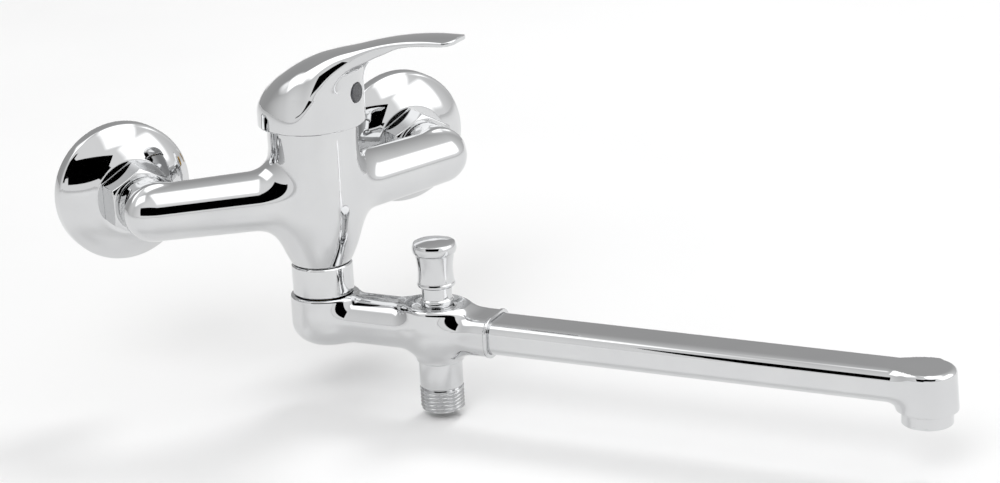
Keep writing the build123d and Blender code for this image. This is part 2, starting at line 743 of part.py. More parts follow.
with BuildPart() as aerator_insert:
    extrude(ring(level(outlet_centre, -78.8), 9.6), amount=11.0)
    with BuildSketch(level(outlet_centre, -78.8, spout_way)):
        with HexLocations(1.5, 5, 5):
            Circle(1.05)
    extrude(amount=11.0, mode=Mode.SUBTRACT)
save(aerator_insert.part, "aerator_insert")

with BuildPart() as aerator_gasket:
    extrude(ring(level(outlet_centre, -65.3), 10.9, 7.6), amount=1.8)
save(aerator_gasket.part, "aerator_gasket")
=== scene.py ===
import json
from math import cos, pi, radians, sin

import bpy
import numpy as np
from mathutils import Matrix, Vector


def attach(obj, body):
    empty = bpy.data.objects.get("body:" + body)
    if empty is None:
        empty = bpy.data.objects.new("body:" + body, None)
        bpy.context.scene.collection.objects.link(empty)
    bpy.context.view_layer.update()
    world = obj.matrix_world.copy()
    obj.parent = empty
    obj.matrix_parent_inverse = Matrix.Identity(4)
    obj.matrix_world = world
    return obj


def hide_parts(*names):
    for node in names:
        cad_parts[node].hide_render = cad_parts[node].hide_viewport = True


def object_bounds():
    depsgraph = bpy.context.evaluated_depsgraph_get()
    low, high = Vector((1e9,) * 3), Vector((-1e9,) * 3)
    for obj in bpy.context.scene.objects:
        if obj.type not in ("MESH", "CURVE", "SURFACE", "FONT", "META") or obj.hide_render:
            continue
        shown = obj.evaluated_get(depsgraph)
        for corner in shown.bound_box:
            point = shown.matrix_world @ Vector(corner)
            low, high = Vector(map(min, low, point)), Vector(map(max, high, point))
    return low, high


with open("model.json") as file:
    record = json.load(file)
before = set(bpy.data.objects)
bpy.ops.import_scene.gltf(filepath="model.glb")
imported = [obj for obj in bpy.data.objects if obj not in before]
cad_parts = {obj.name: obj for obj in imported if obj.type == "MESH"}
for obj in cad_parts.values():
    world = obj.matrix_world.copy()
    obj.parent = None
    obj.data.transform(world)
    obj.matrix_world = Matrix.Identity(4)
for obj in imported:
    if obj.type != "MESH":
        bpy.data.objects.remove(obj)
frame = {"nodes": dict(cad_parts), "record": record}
cad_box = [list(corner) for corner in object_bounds()]

# Wall mounted bath mixer. Its lengths are in millimetres, and are scaled where a mesh is made.
# Heights are measured from the inlet axis, which hangs inlet_drop under the origin.
MM = 0.001
inlet_drop = 8.0
body_reach = 63.3
half_spacing = 75.0
lever_heading = 34.5
spout_heading = 36.0
diverter_reach = 60.9
spout_reach = 300.0
spout_level = -61.85
half_inch = 20.955 / 2
three_quarter_inch = 26.441 / 2
thread_pitch = 1.814
thread_depth = 1.1


# Frames: each piece is modelled in its own axes, (forward, sideways, up)

def turned_frame(centre, degrees):
    """Matrix from local millimetres (forward, sideways, height) to the shared frame in metres."""
    a = radians(degrees)
    forward = Vector((sin(a), -cos(a), 0))
    sideways = Vector((cos(a), sin(a), 0))
    m = Matrix.Identity(4)
    for row in range(3):
        m[row][0] = forward[row] * MM
        m[row][1] = sideways[row] * MM
        m[row][2] = (0, 0, 1)[row] * MM
    m[0][3], m[1][3], m[2][3] = centre[0] * MM, centre[1] * MM, -inlet_drop * MM
    return m


def along(heading_degrees, distance):
    """Plan point at a distance from the housing axis."""
    a = radians(heading_degrees)
    return (distance * sin(a), -body_reach - distance * cos(a))


body_frame = turned_frame((0, -body_reach), 0)
lever_frame = turned_frame((0, -body_reach), lever_heading)
spout_frame = turned_frame((0, -body_reach), spout_heading)
diverter_frame = turned_frame(along(spout_heading, diverter_reach), spout_heading)
outlet_frame = turned_frame(along(spout_heading, spout_reach), spout_heading)
# Local z of these runs out of the wall, for the pieces that turn about an inlet
outward = Matrix(((1, 0, 0, 0), (0, 0, -1, 0), (0, 1, 0, 0), (0, 0, 0, 1)))
inlet_frames = {}
for side, word in ((-1, "left"), (1, "right")):
    place = Matrix.Translation((side * half_spacing * MM, 0, -inlet_drop * MM))
    inlet_frames[word] = place @ outward @ Matrix.Scale(MM, 4)


# Distance fields, in millimetres, negative inside

def blend_union(a, b, k):
    h = np.clip(0.5 + 0.5 * (b - a) / k, 0, 1)
    return b + (a - b) * h - k * h * (1 - h)


def round_meet(a, b, r):
    """Intersection whose edge is rounded to a radius."""
    return np.minimum(-r, np.maximum(a, b)) + np.hypot(np.maximum(a + r, 0), np.maximum(b + r, 0))


def cut(a, b, r=0.3):
    """a without b, with the edge between them rounded."""
    return round_meet(a, -b, r)


def ramp(x, xs, ys):
    """Smooth curve through a few points, by monotone cubic pieces."""
    xs, ys = np.array(xs, float), np.array(ys, float)
    step = np.diff(xs)
    slope = np.diff(ys) / step
    m = np.zeros(len(xs))
    m[1:-1] = (slope[:-1] * step[1:] + slope[1:] * step[:-1]) / (step[:-1] + step[1:])
    m[0], m[-1] = slope[0], slope[-1]
    i = np.clip(np.searchsorted(xs, x) - 1, 0, len(step) - 1)
    t = np.clip((x - xs[i]) / step[i], 0, 1)
    a, b = ys[i], ys[i + 1]
    return (
        a * (1 + 2 * t) * (1 - t) ** 2 + m[i] * step[i] * t * (1 - t) ** 2
        + b * t * t * (3 - 2 * t) + m[i + 1] * step[i] * t * t * (t - 1)
    )


def slab(v, low, high):
    return np.maximum(low - v, v - high)


def bar(rho, along_axis, radius, low, high, edge=0.3):
    """Round bar from low to high along its axis."""
    return round_meet(rho - radius, slab(along_axis, low, high), edge)


def rounded_box(u, v, half_u, half_v, corner):
    qu, qv = np.abs(u) - half_u + corner, np.abs(v) - half_v + corner
    outside = np.hypot(np.maximum(qu, 0), np.maximum(qv, 0))
    return outside + np.minimum(np.maximum(qu, qv), 0) - corner


def screw_radius(along_axis, angle, major, low, high, run=0.9):
    """Radius of a pipe thread: rounded ridges that climb one pitch each turn and fade out at both ends."""
    phase = along_axis / thread_pitch - angle / (2 * pi)
    wave = 0.5 - 0.5 * np.cos(2 * pi * phase)
    fade = np.clip(np.minimum(along_axis - low, high - along_axis) / run, 0, 1)
    return major - thread_depth * wave ** 0.8 * fade


def surface(field, low, high, cell):
    """Vertices, outward normals and quads of a field's zero surface: surface nets, pulled onto it."""
    axes = [np.arange(a - cell, b + 2 * cell, cell) for a, b in zip(low, high)]
    inside = field(*np.meshgrid(*axes, indexing="ij")) < 0
    shape = [n - 1 for n in inside.shape]
    count = np.zeros(shape, np.int8)
    for i in (0, 1):
        for j in (0, 1):
            for k in (0, 1):
                count += inside[i:i + shape[0], j:j + shape[1], k:k + shape[2]]
    active = (count > 0) & (count < 8)
    number = np.full(shape, -1)
    number[active] = np.arange(active.sum())
    where = np.argwhere(active)
    points = np.stack([axes[n][where[:, n]] + cell / 2 for n in range(3)], 1)
    quads = []
    for axis in range(3):
        other, third = (axis + 1) % 3, (axis + 2) % 3
        first = np.moveaxis(inside, axis, 0)[:-1]
        second = np.moveaxis(inside, axis, 0)[1:]
        for flip, found in ((False, first & ~second), (True, ~first & second)):
            edge = np.argwhere(np.moveaxis(found, 0, axis))
            keep = (edge[:, other] > 0) & (edge[:, third] > 0)
            edge = edge[keep]
            ring = []
            for back_other, back_third in ((1, 1), (0, 1), (0, 0), (1, 0)):
                cell_index = edge.copy()
                cell_index[:, other] -= back_other
                cell_index[:, third] -= back_third
                ring.append(number[tuple(cell_index.T)])
            ring = np.stack(ring, 1)
            quads.append(ring[:, ::-1] if flip else ring)
    for _ in range(5):
        value, slope = gradient(field, points)
        move = slope * (value / np.maximum((slope ** 2).sum(1), 1e-6))[:, None]
        length = np.linalg.norm(move, axis=1, keepdims=True)
        points = points - move * np.minimum(1, 0.5 * cell / np.maximum(length, 1e-9))
    normals = gradient(field, points)[1]
    normals /= np.maximum(np.linalg.norm(normals, axis=1, keepdims=True), 1e-9)
    return points, normals, np.concatenate(quads)


def gradient(field, points, step=0.02):
    x, y, z = points.T
    value = field(x, y, z)
    slope = [
        field(x + step * (n == 0), y + step * (n == 1), z + step * (n == 2))
        - field(x - step * (n == 0), y - step * (n == 1), z - step * (n == 2))
        for n in range(3)
    ]
    return value, np.stack(slope, 1) / (2 * step)


def add_piece(name, points, faces, place, body, stands_for, slot, normals=None):
    """Turn arrays into a mesh object in the shared frame, attach it to the body it rides on and hide the
    parts it stands for.
    """
    m = np.array(place)
    mesh = bpy.data.meshes.new(name)
    mesh.from_pydata((points @ m[:3, :3].T + m[:3, 3]).tolist(), [], [list(map(int, f)) for f in faces])
    mesh.polygons.foreach_set("use_smooth", [True] * len(mesh.polygons))
    mesh.materials.append(finishes[slot])
    if normals is None:
        mesh.set_sharp_from_angle(angle=radians(38))
    else:
        turned = normals @ m[:3, :3].T
        turned /= np.linalg.norm(turned, axis=1, keepdims=True)
        mesh.normals_split_custom_set_from_vertices(turned.tolist())
    mesh.validate()
    piece = bpy.data.objects.new(name, mesh)
    bpy.context.scene.collection.objects.link(piece)
    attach(piece, body)
    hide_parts(*stands_for)


def cast_piece(name, field, low, high, cell, place, body, stands_for, slot):
    points, normals, quads = surface(field, low, high, cell)
    add_piece(name, points, quads, place, body, stands_for, slot, normals)


def rounded_profile(corners, steps=5):
    """Closed (radius, height) outline; a third number on a corner rounds it."""
    outline = []
    for n, corner in enumerate(corners):
        p = np.array(corner[:2], float)
        r = corner[2] if len(corner) > 2 else 0
        if not r:
            outline.append(p)
            continue
        a = np.array(corners[n - 1][:2], float) - p
        b = np.array(corners[(n + 1) % len(corners)][:2], float) - p
        a /= np.linalg.norm(a)
        b /= np.linalg.norm(b)
        half = np.arccos(np.clip(a @ b, -1, 1)) / 2
        reach = r / np.tan(half)
        centre = p + (a + b) / np.linalg.norm(a + b) * r / np.sin(half)
        start, end = p + a * reach - centre, p + b * reach - centre
        for t in np.linspace(0, 1, steps):
            v = start * (1 - t) + end * t
            outline.append(centre + v / np.linalg.norm(v) * r)
    return np.array(outline)


def arc(start, middle, end, steps=14):
    """Points of the circle arc through three (radius, height) points, both ends included."""
    (ax, ay), (bx, by), (cx, cy) = start, middle, end
    d = 2 * (ax * (by - cy) + bx * (cy - ay) + cx * (ay - by))
    sa, sb, sc = ax * ax + ay * ay, bx * bx + by * by, cx * cx + cy * cy
    ux = (sa * (by - cy) + sb * (cy - ay) + sc * (ay - by)) / d
    uy = (sa * (cx - bx) + sb * (ax - cx) + sc * (bx - ax)) / d
    angle = [np.arctan2(y - uy, x - ux) for x, y in (start, middle, end)]
    total = (angle[2] - angle[0] + pi) % (2 * pi) - pi
    r = np.hypot(ax - ux, ay - uy)
    turns = [angle[0] + total * t for t in np.linspace(0, 1, steps)]
    return [(ux + r * cos(a), uy + r * sin(a)) for a in turns]


def turned_piece(name, outline, place, body, stands_for, slot, columns=192, radius_at=None):
    """Revolve a closed (radius, height) outline; radius_at may make the radius vary round the axis."""
    outline = np.asarray(outline, float)
    rows = len(outline)
    theta = np.arange(columns) * 2 * pi / columns
    r = np.repeat(outline[:, 0][:, None], columns, 1)
    h = np.repeat(outline[:, 1][:, None], columns, 1)
    if radius_at is not None:
        r = radius_at(r, h, theta[None, :])
    points = np.stack([r * np.cos(theta), r * np.sin(theta), h], 2).reshape(-1, 3)
    i, j = np.meshgrid(np.arange(rows), np.arange(columns), indexing="ij")
    up, across = (i + 1) % rows, (j + 1) % columns
    ring = [i * columns + j, i * columns + across, up * columns + across, up * columns + j]
    quads = np.stack(ring, 2).reshape(-1, 4)
    radii, heights = outline.T
    area = np.sum(radii * np.roll(heights, -1) - np.roll(radii, -1) * heights)
    if area < 0:
        quads = quads[:, ::-1]
    faces = []
    for q in quads.tolist():
        on_axis = [np.hypot(*points[v][:2]) < 1e-6 for v in q]
        if sum(on_axis) < 4:
            faces.append(q)
    faces, points = weld_axis(faces, points)
    add_piece(name, points, faces, place, body, stands_for, slot)


def weld_axis(faces, points):
    """Join the points that fall together on the axis, so that the piece closes there."""
    keys, owner, kept = {}, [], []
    for n, p in enumerate(points):
        key = ("axis", round(float(p[2]), 5)) if np.hypot(p[0], p[1]) < 1e-6 else n
        if key not in keys:
            keys[key] = len(kept)
            kept.append(p)
        owner.append(keys[key])
    joined = []
    for face in faces:
        ring = []
        for v in face:
            if owner[v] not in ring:
                ring.append(owner[v])
        if len(ring) > 2:
            joined.append(ring)
    return joined, np.array(kept)


# Materials

def new_material(name):
    made = bpy.data.materials.new(name)
    made.use_nodes = True
    shader = made.node_tree.nodes["Principled BSDF"]
    return made, made.node_tree, shader


def link(tree, source, output, target, socket):
    tree.links.new(source.outputs[output], target.inputs[socket])


def noise(tree, scale, detail=4.0, stretch=(1, 1, 1)):
    """Noise in the object's own coordinates; the scale is features per metre."""
    place = tree.nodes.new("ShaderNodeTexCoord")
    mapping = tree.nodes.new("ShaderNodeMapping")
    mapping.inputs["Scale"].default_value = stretch
    texture = tree.nodes.new("ShaderNodeTexNoise")
    texture.inputs["Scale"].default_value = scale
    texture.inputs["Detail"].default_value = detail
    link(tree, place, "Object", mapping, "Vector")
    link(tree, mapping, "Vector", texture, "Vector")
    return texture


def mapped(tree, source, low, high, from_low=0.3, from_high=0.7):
    node = tree.nodes.new("ShaderNodeMapRange")
    node.inputs["From Min"].default_value = from_low
    node.inputs["From Max"].default_value = from_high
    node.inputs["To Min"].default_value = low
    node.inputs["To Max"].default_value = high
    link(tree, source, 0, node, "Value")
    return node


def tinted(tree, source, dark, light):
    node = tree.nodes.new("ShaderNodeValToRGB")
    node.color_ramp.elements[0].position = 0.32
    node.color_ramp.elements[0].color = (*dark, 1)
    node.color_ramp.elements[1].position = 0.68
    node.color_ramp.elements[1].color = (*light, 1)
    link(tree, source, 0, node, "Fac")
    return node


def detailed(
    name, dark, light, metallic, rough, colour_scale, rough_scale, bump_scale, bump, stretch=(1, 1, 1)
):
    """Material whose colour, roughness and fine relief all vary over the surface."""
    made, tree, shader = new_material(name)
    shader.inputs["Metallic"].default_value = metallic
    link(tree, tinted(tree, noise(tree, colour_scale), dark, light), "Color", shader, "Base Color")
    worn = noise(tree, rough_scale, 6.0, stretch)
    link(tree, mapped(tree, worn, *rough), "Result", shader, "Roughness")
    relief = tree.nodes.new("ShaderNodeBump")
    relief.inputs["Strength"].default_value = bump
    relief.inputs["Distance"].default_value = 0.0001
    link(tree, noise(tree, bump_scale, 8.0, stretch), 0, relief, "Height")
    link(tree, relief, "Normal", shader, "Normal")
    return made


def plated(name):
    """Polished chrome plating: near mirror, with faint waviness, wiped haze and dried water specks."""
    made, tree, shader = new_material(name)
    shader.inputs["Metallic"].default_value = 1.0
    colour = tinted(tree, noise(tree, 40), (0.635, 0.64, 0.648), (0.665, 0.67, 0.675))
    link(tree, colour, "Color", shader, "Base Color")
    haze = mapped(tree, noise(tree, 70, 7.0, (1, 1, 3)), 0.012, 0.045)
    specks = tree.nodes.new("ShaderNodeTexVoronoi")
    specks.inputs["Scale"].default_value = 260
    place = tree.nodes.new("ShaderNodeTexCoord")
    link(tree, place, "Object", specks, "Vector")
    spot = mapped(tree, specks, 0.07, 0.0, 0.03, 0.10)
    total = tree.nodes.new("ShaderNodeMath")
    total.operation = "ADD"
    tree.links.new(haze.outputs[0], total.inputs[0])
    tree.links.new(spot.outputs[0], total.inputs[1])
    link(tree, total, 0, shader, "Roughness")
    relief = tree.nodes.new("ShaderNodeBump")
    relief.inputs["Strength"].default_value = 0.10
    relief.inputs["Distance"].default_value = 0.0001
    link(tree, noise(tree, 55, 2.0), 0, relief, "Height")
    link(tree, relief, "Normal", shader, "Normal")
    return made


chrome = plated("polished_chrome")
brass = detailed(
    "bare_brass", (0.55, 0.38, 0.14), (0.78, 0.60, 0.28), 1.0, (0.18, 0.42), 90, 500, 2600, 0.35,
    (1, 1, 14),
)
steel = detailed(
    "plain_steel", (0.50, 0.50, 0.51), (0.68, 0.68, 0.69), 1.0, (0.16, 0.38), 120, 700, 3000, 0.30,
    (1, 1, 12),
)
rubber = detailed(
    "black_rubber", (0.012, 0.012, 0.012), (0.035, 0.034, 0.033), 0.0, (0.55, 0.85), 300, 900, 4000, 0.5
)
fibre = detailed(
    "fibre_washer", (0.20, 0.06, 0.04), (0.36, 0.14, 0.09), 0.0, (0.65, 0.9), 900, 1800, 5200, 0.8
)
pale_plastic = detailed(
    "cartridge_plastic", (0.74, 0.73, 0.69), (0.86, 0.85, 0.81), 0.0, (0.32, 0.5), 200, 800, 3600, 0.25
)
ceramic = detailed(
    "disc_ceramic", (0.84, 0.81, 0.75), (0.93, 0.91, 0.87), 0.0, (0.10, 0.24), 260, 900, 4200, 0.12
)
index_plastic = detailed(
    "index_plastic", (0.045, 0.047, 0.052), (0.075, 0.078, 0.085), 0.0, (0.16, 0.34), 400, 900, 3000, 0.2
)
aerator_plastic = detailed(
    "aerator_plastic", (0.60, 0.62, 0.63), (0.74, 0.76, 0.77), 0.0, (0.35, 0.55), 500, 900, 3000, 0.3
)

finishes = {
    "polished_chrome": chrome,
    "bare_brass": brass,
    "plain_steel": steel,
    "black_rubber": rubber,
    "fibre": fibre,
    "cartridge_plastic": pale_plastic,
    "disc_ceramic": ceramic,
    "index_plastic": index_plastic,
    "aerator_plastic": aerator_plastic,
}
slot_of = {row["node"]: row["material_slot"] for row in frame["record"]["subparts"]}
for node_name, node in frame["nodes"].items():
    node.data.materials.clear()
    node.data.materials.append(finishes[slot_of[node_name]])


# Wall flanges, union nuts and eccentric unions

flange_outline = (
    [(32.2, 0), (33.2, 0), (33.5, 0.3), (33.5, 5.9), (33.3, 6.4), (32.6, 7.2), (32.2, 7.5)]
    + arc((32.1, 7.6), (27.0, 12.3), (18.8, 16.4))
    + [(18.3, 16.6), (17.6, 16.6), (13.6, 16.6), (13.3, 16.3), (13.3, 11.0), (16.6, 11.0), (17.2, 14.8)]
    + arc((17.4, 15.0), (26.0, 11.1), (31.0, 6.5))
    + [(32.0, 5.4)]
)


nut_half_flats = 15.0
nut_back = 16.75
nut_front = 30.98
chamfer_rise = 0.866
wall_tail_bore = 6.5
union_bore = 7.0


def union_nut_field(x, y, z):
    """Hexagon nut, chamfered to a circle at both ends and bored for the thread and the nipple."""
    rho = np.hypot(x, y)
    hexagon = np.max([x * cos(a) + y * sin(a) for a in np.arange(6) * pi / 3], axis=0) - nut_half_flats
    front = (rho - 15.2) * 0.5 + (z - 31.0) * chamfer_rise
    back = (rho - 15.9) * 0.5 + (nut_back - z) * chamfer_rise
    shape = round_meet(hexagon, slab(z, nut_back, nut_front), 0.5)
    shape = round_meet(shape, np.maximum(front, back), 0.35)
    shape = cut(shape, bar(rho, z, three_quarter_inch + 0.05, 10.0, 29.4), 0.3)
    return cut(shape, bar(rho, z, half_inch + 0.2, 10.0, 40.0), 0.3)


def s_union_field(x, y, z):
    """Eccentric union: the wall thread sits inlet_drop above the thread that carries flange and nut."""
    pipe = np.hypot(x, y - inlet_drop)
    rho = np.hypot(x, y)
    wall_thread = screw_radius(z, np.arctan2(y - inlet_drop, x), half_inch, -15.2, 0.3)
    shape = round_meet(pipe - wall_thread, slab(z, -15.0, 3.0), 0.5)
    t = np.clip(y / inlet_drop, 0, 1)
    oval = np.hypot(x, y - t * inlet_drop) - (three_quarter_inch * (1 - t) + (half_inch + 1.2) * t)
    shape = np.minimum(shape, round_meet(oval, slab(z, 0.05, 6.0), 0.5))
    front_thread = screw_radius(z, np.arctan2(y, x), three_quarter_inch, 6.0, 25.2)
    shape = np.minimum(shape, round_meet(rho - front_thread, slab(z, 2.0, 25.0), 0.5))
    shape = cut(shape, bar(pipe, z, wall_tail_bore, -20.0, 4.2), 0.4)
    return cut(shape, bar(rho, z, union_bore, 1.6, 30.0), 0.4)


for word, place in inlet_frames.items():
    turned_piece(
        f"{word}_flange_cover", flange_outline, place, "root", [f"{word}_wall_flange"], "polished_chrome"
    )
    cast_piece(
        f"{word}_hexagon_nut", union_nut_field, (-18, -18, 16), (18, 18, 32), 0.36, place, "root",
        [f"{word}_union_nut"], "polished_chrome",
    )
    cast_piece(
        f"{word}_eccentric_union", s_union_field, (-14, -14, -16), (14, 20.5, 26), 0.42, place, "root",
        [f"{word}_s_union"], "bare_brass",
    )


# Mixer body

arm_end_setback = 44.4
arm_level = -1.2
arm_radius = 15.0
arm_taper = 1.6
inlet_radius = 13.2
face_distance = 31.7
housing_radius = 21.6
funnel_start = -8.0
funnel_curve = 0.0104
body_top = 34.0
body_bottom = -34.6
arm_blend = 11.0
cartridge_bore = 17.55
ring_nut_bore = 19.05
spigot_radius = 12.2
spigot_bore = 8.55
feed_radius = 6.5


def mixer_body_field(x, y, z):
    """Forward x, sideways y, height z, from the housing axis: upright housing, funnel, two arms, inlets."""
    rho = np.hypot(x, y)
    below = np.maximum(funnel_start - z, 0)
    funnel = housing_radius - funnel_curve * below ** 2
    housing = (rho - funnel) / np.sqrt(1 + (2 * funnel_curve * below) ** 2)
    back = body_reach - arm_end_setback
    run = np.hypot(half_spacing, back)
    ux, uy = -back / run, half_spacing / run
    side = np.abs(y)
    t = x * ux + side * uy
    off = -x * uy + side * ux
    rise = z - arm_level
    thick = arm_radius - arm_taper * np.clip(t / run, 0, 1)
    past = np.maximum(t - run, 0)
    arm = np.hypot(np.hypot(off, rise), past * 13.4 / 15.2) - thick
    elbow_side = side - half_spacing
    turn = np.hypot(elbow_side, z)
    inlet = round_meet(
        turn - inlet_radius, np.maximum(-x - (body_reach - face_distance), x + back - 2), 0.4
    )
    arm = blend_union(arm, inlet, 3.0)
    arm = np.maximum(arm, -(x + body_reach - face_distance))
    shape = blend_union(housing, arm, arm_blend)
    shape = round_meet(shape, z - body_top, 0.7)
    shape = round_meet(shape, body_bottom - z, 0.6)
    spigot = bar(rho, z, spigot_radius, -44.6, -30.0, 0.4)
    shape = np.minimum(shape, spigot)
    shape = cut(shape, np.maximum(rho - cartridge_bore, 8.0 - z), 0.2)
    shape = cut(shape, np.maximum(rho - ring_nut_bore, 26.0 - z), 0.4)
    shape = cut(shape, bar(rho, z, spigot_bore, -60.0, -24.0), 0.2)
    feed = np.hypot(np.hypot(off, rise), np.maximum(7.0 - t, t - run + 4)) - feed_radius
    shape = cut(shape, feed, 0.3)
    shape = cut(shape, np.maximum(turn - half_inch - 0.05, x + back), 0.3)
    shape = cut(shape, bar(np.hypot(x + 3.5, side - 8.5), z, 3.2, arm_level, 12.0), 0.2)
    return cut(shape, bar(np.hypot(x - 7.5, y), z, 4.0, -27.0, 12.0), 0.2)


cast_piece(
    "mixer_body_casting", mixer_body_field, (-33, -91.5, -46), (23, 91.5, 35), 0.62, body_frame, "root",
    ["mixer_body"], "polished_chrome",
)


# Lever

hub_radius = 25.6
lever_base = 34.5
cavity_radius = 23.2
cavity_top = 54.5
least_wall = 1.3
boss_radius = 8.6
stem_half_width = 4.05
grip_start = 30
tip_radius = 6.0
button_height = 50.6
button_radius = 4.8


def lever_field(x, y, z):
    """Hub dome drawn out into a thin crowned grip, hollow inside the hub."""
    rho = np.hypot(x, y)
    side = np.abs(y)
    crest = ramp(
        x, (-25.8, -25.2, -24.2, -22.8, -20.4, -15.9, -10, -2.2, 5.7, 15, 25.8, 37, 45.9, 55.8, 66.3, 81.5),
        (37.5, 39.2, 42.2, 46.9, 51.3, 55.6, 59.8, 64.4, 68.0, 70.9, 73.6, 76.6, 78.6, 80.2, 81.2, 81.45),
    )
    half_width = ramp(
        x, (-25.8, -24.6, -22.8, -20, -16, -10, 0, 8, 16, 30, 46, 90),
        (5.5, 11.0, 14.8, 18.8, 22.5, 25.8, 27.4, 28.0, 31.5, 33.5, 38, 38),
    )
    height = np.maximum(crest - lever_base, 0.5)
    up = z - lever_base
    k0 = np.hypot(side / half_width, up / height)
    k1 = np.hypot(side / half_width ** 2, up / height ** 2)
    crown = k0 * (k0 - 1) / np.maximum(k1, 1e-6)
    width = ramp(x, (0, 20, 30, 48, 70, 90), (18, 14.2, 12.2, 10.3, 9.6, 9.4))
    past = np.maximum(x - 75.5, 0) / tip_radius
    tip = np.hypot(past, np.maximum(side - 3.5, 0) / 6.1) * tip_radius - tip_radius
    outline = np.maximum(side - width, np.where(x > 70, tip, side - width))
    under = ramp(
        x, (0, 22, 26, 30, 36.6, 42, 47.5, 52.4, 58.7, 66, 73.7, 82),
        (50, 59, 62.5, 65.0, 68.0, 70.7, 73.0, 75.2, 76.7, 77.5, 77.9, 78.3),
    ) + 0.5 * (1 - np.clip(side / 10, 0, 1) ** 2)
    blade = round_meet(outline, under - z, ramp(x, (50, 72), (1.2, 0.6)))
    blade = np.maximum(blade, 4.0 - x)
    body = blend_union(rho - hub_radius, blade, 7.0)
    edge = ramp(x, (-30, -16, -4, 6, 22, 40, 60, 74), (1.5, 1.5, 4.0, 8.0, 5.0, 1.6, 1.3, 0.7))
    growth = np.where(x < grip_start, np.clip((z - 37.0) / 14.0, 0, 1), 1.0)
    edge = 1.0 + (edge - 1.0) * growth
    shape = round_meet(round_meet(body, crown, edge), lever_base - z, 0.6)
    hollow = round_meet(rho - cavity_radius, (z - cavity_top) * 0.8 + (rho - 12.0) * 0.6, 1.0)
    hollow = np.where(z > 37.0, np.maximum(hollow, shape + least_wall), hollow)
    shape = cut(shape, hollow, 0.5)
    square = np.maximum(np.abs(x), side)
    boss = cut(bar(rho, z, boss_radius, 42.2, 58.0, 0.4), bar(square, z, stem_half_width, 30, 54.3), 0.1)
    shape = np.minimum(shape, np.maximum(boss, crown))
    seat = np.hypot(y, z - button_height)
    return cut(shape, np.maximum(seat - button_radius, 23.55 - x), 0.15)


cast_piece(
    "lever_casting", lever_field, (-26, -26, 34), (82, 26, 82), 0.52, lever_frame, "lever", ["lever_handle"],
    "polished_chrome",
)


# Swivel nut under the body

swivel_outline = rounded_profile([
    (12.3, -35.1), (12.3, -48.0), (9.65, -48.0), (9.65, -49.9, 0.2), (14.3, -49.9, 0.4), (14.7, -49.3, 0.4),
    (14.7, -35.8, 0.4), (14.1, -35.1, 0.4),
])
turned_piece(
    "swivel_nut_ring", swivel_outline, body_frame, "root", ["swivel_union_nut"], "polished_chrome"
)


# Diverter casting

elbow_radius = 16.2
elbow_top = -50.4
run_half = 12.3
boss_top = -49.6
valve_bore = 5.4
socket_start = 85.0
socket_end = 92.0
bores = ((8.7, -90.0, -61.0), (5.8, -62.0, -57.0), (8.0, -59.5, -54.6), (7.05, -56.0, -40.0))


def diverter_field(x, y, z):
    """Elbow under the swivel, horizontal run, valve boss and spout socket, smoothly run together."""
    rho = np.hypot(x, y)
    boss_rho = np.hypot(x - diverter_reach, y)
    elbow = round_meet(round_meet(rho - elbow_radius, -75.2 - z, 11.0), z - elbow_top, 1.2)
    s = np.clip((x - 72.0) / 13.0, 0, 1)
    s = s * s * (3 - 2 * s)
    section = rounded_box(
        y, z - spout_level, run_half + 0.7 * s, run_half - 2.8 * s, run_half - 5.3 * s
    )
    run = round_meet(section, np.maximum(-x, x - socket_end), 0.5)
    skirt = ramp(z, (-78.0, -76.6, -72.0, -66.0, -49.0), (11.1, 11.2, 13.4, 15.0, 15.0))
    boss = round_meet((boss_rho - skirt) * 0.92, z - boss_top, 2.6)
    shape = blend_union(blend_union(elbow, run, 5.5), boss, 6.0)
    shape = round_meet(shape, -77.98 - z, 0.4)
    shape = np.maximum(shape, z - boss_top)
    swivel_clear = np.maximum(rho - 16.6, elbow_top - z)
    shape = np.maximum(shape, -swivel_clear)
    dish = np.hypot(boss_rho / 11.0, (z + 49.4) / 1.5)
    shape = cut(shape, (dish - 1) * 1.5, 0.5)
    rib = np.abs(section) - 0.55
    rib = round_meet(rib, np.abs(x - 91.2) - 0.8, 0.4)
    shape = np.minimum(shape, np.maximum(rib, section - 0.45))
    for radius, low, high in bores:
        shape = cut(shape, bar(boss_rho, z, radius, low, high, 0.1), 0.15)
    shape = cut(shape, bar(rho, z, 9.35, -58.0, -40.0, 0.1), 0.15)
    shape = cut(shape, bar(rho, z, 7.0, -71.0, -50.0, 0.1), 0.15)
    channel = round_meet(np.hypot(y, z + 67.0) - valve_bore, slab(x, 0, diverter_reach), 0.3)
    shape = cut(shape, channel, 0.15)
    socket = rounded_box(y, z - spout_level, 11.55, 8.05, 5.55)
    return cut(shape, np.maximum(socket, socket_start - x), 0.2)


cast_piece(
    "diverter_casting", diverter_field, (-17, -17, -79), (93, 17, -49), 0.52, spout_frame, "spout",
    ["diverter_body"], "polished_chrome",
)


# Spout with its outlet head

head_top = -53.85
head_bottom = -73.4
head_radius = 12.9
head_flare = 1.1 / 19.5
tube_half_width, tube_half_height, tube_corner = 11.5, 8.0, 5.5
tube_wall = 1.3


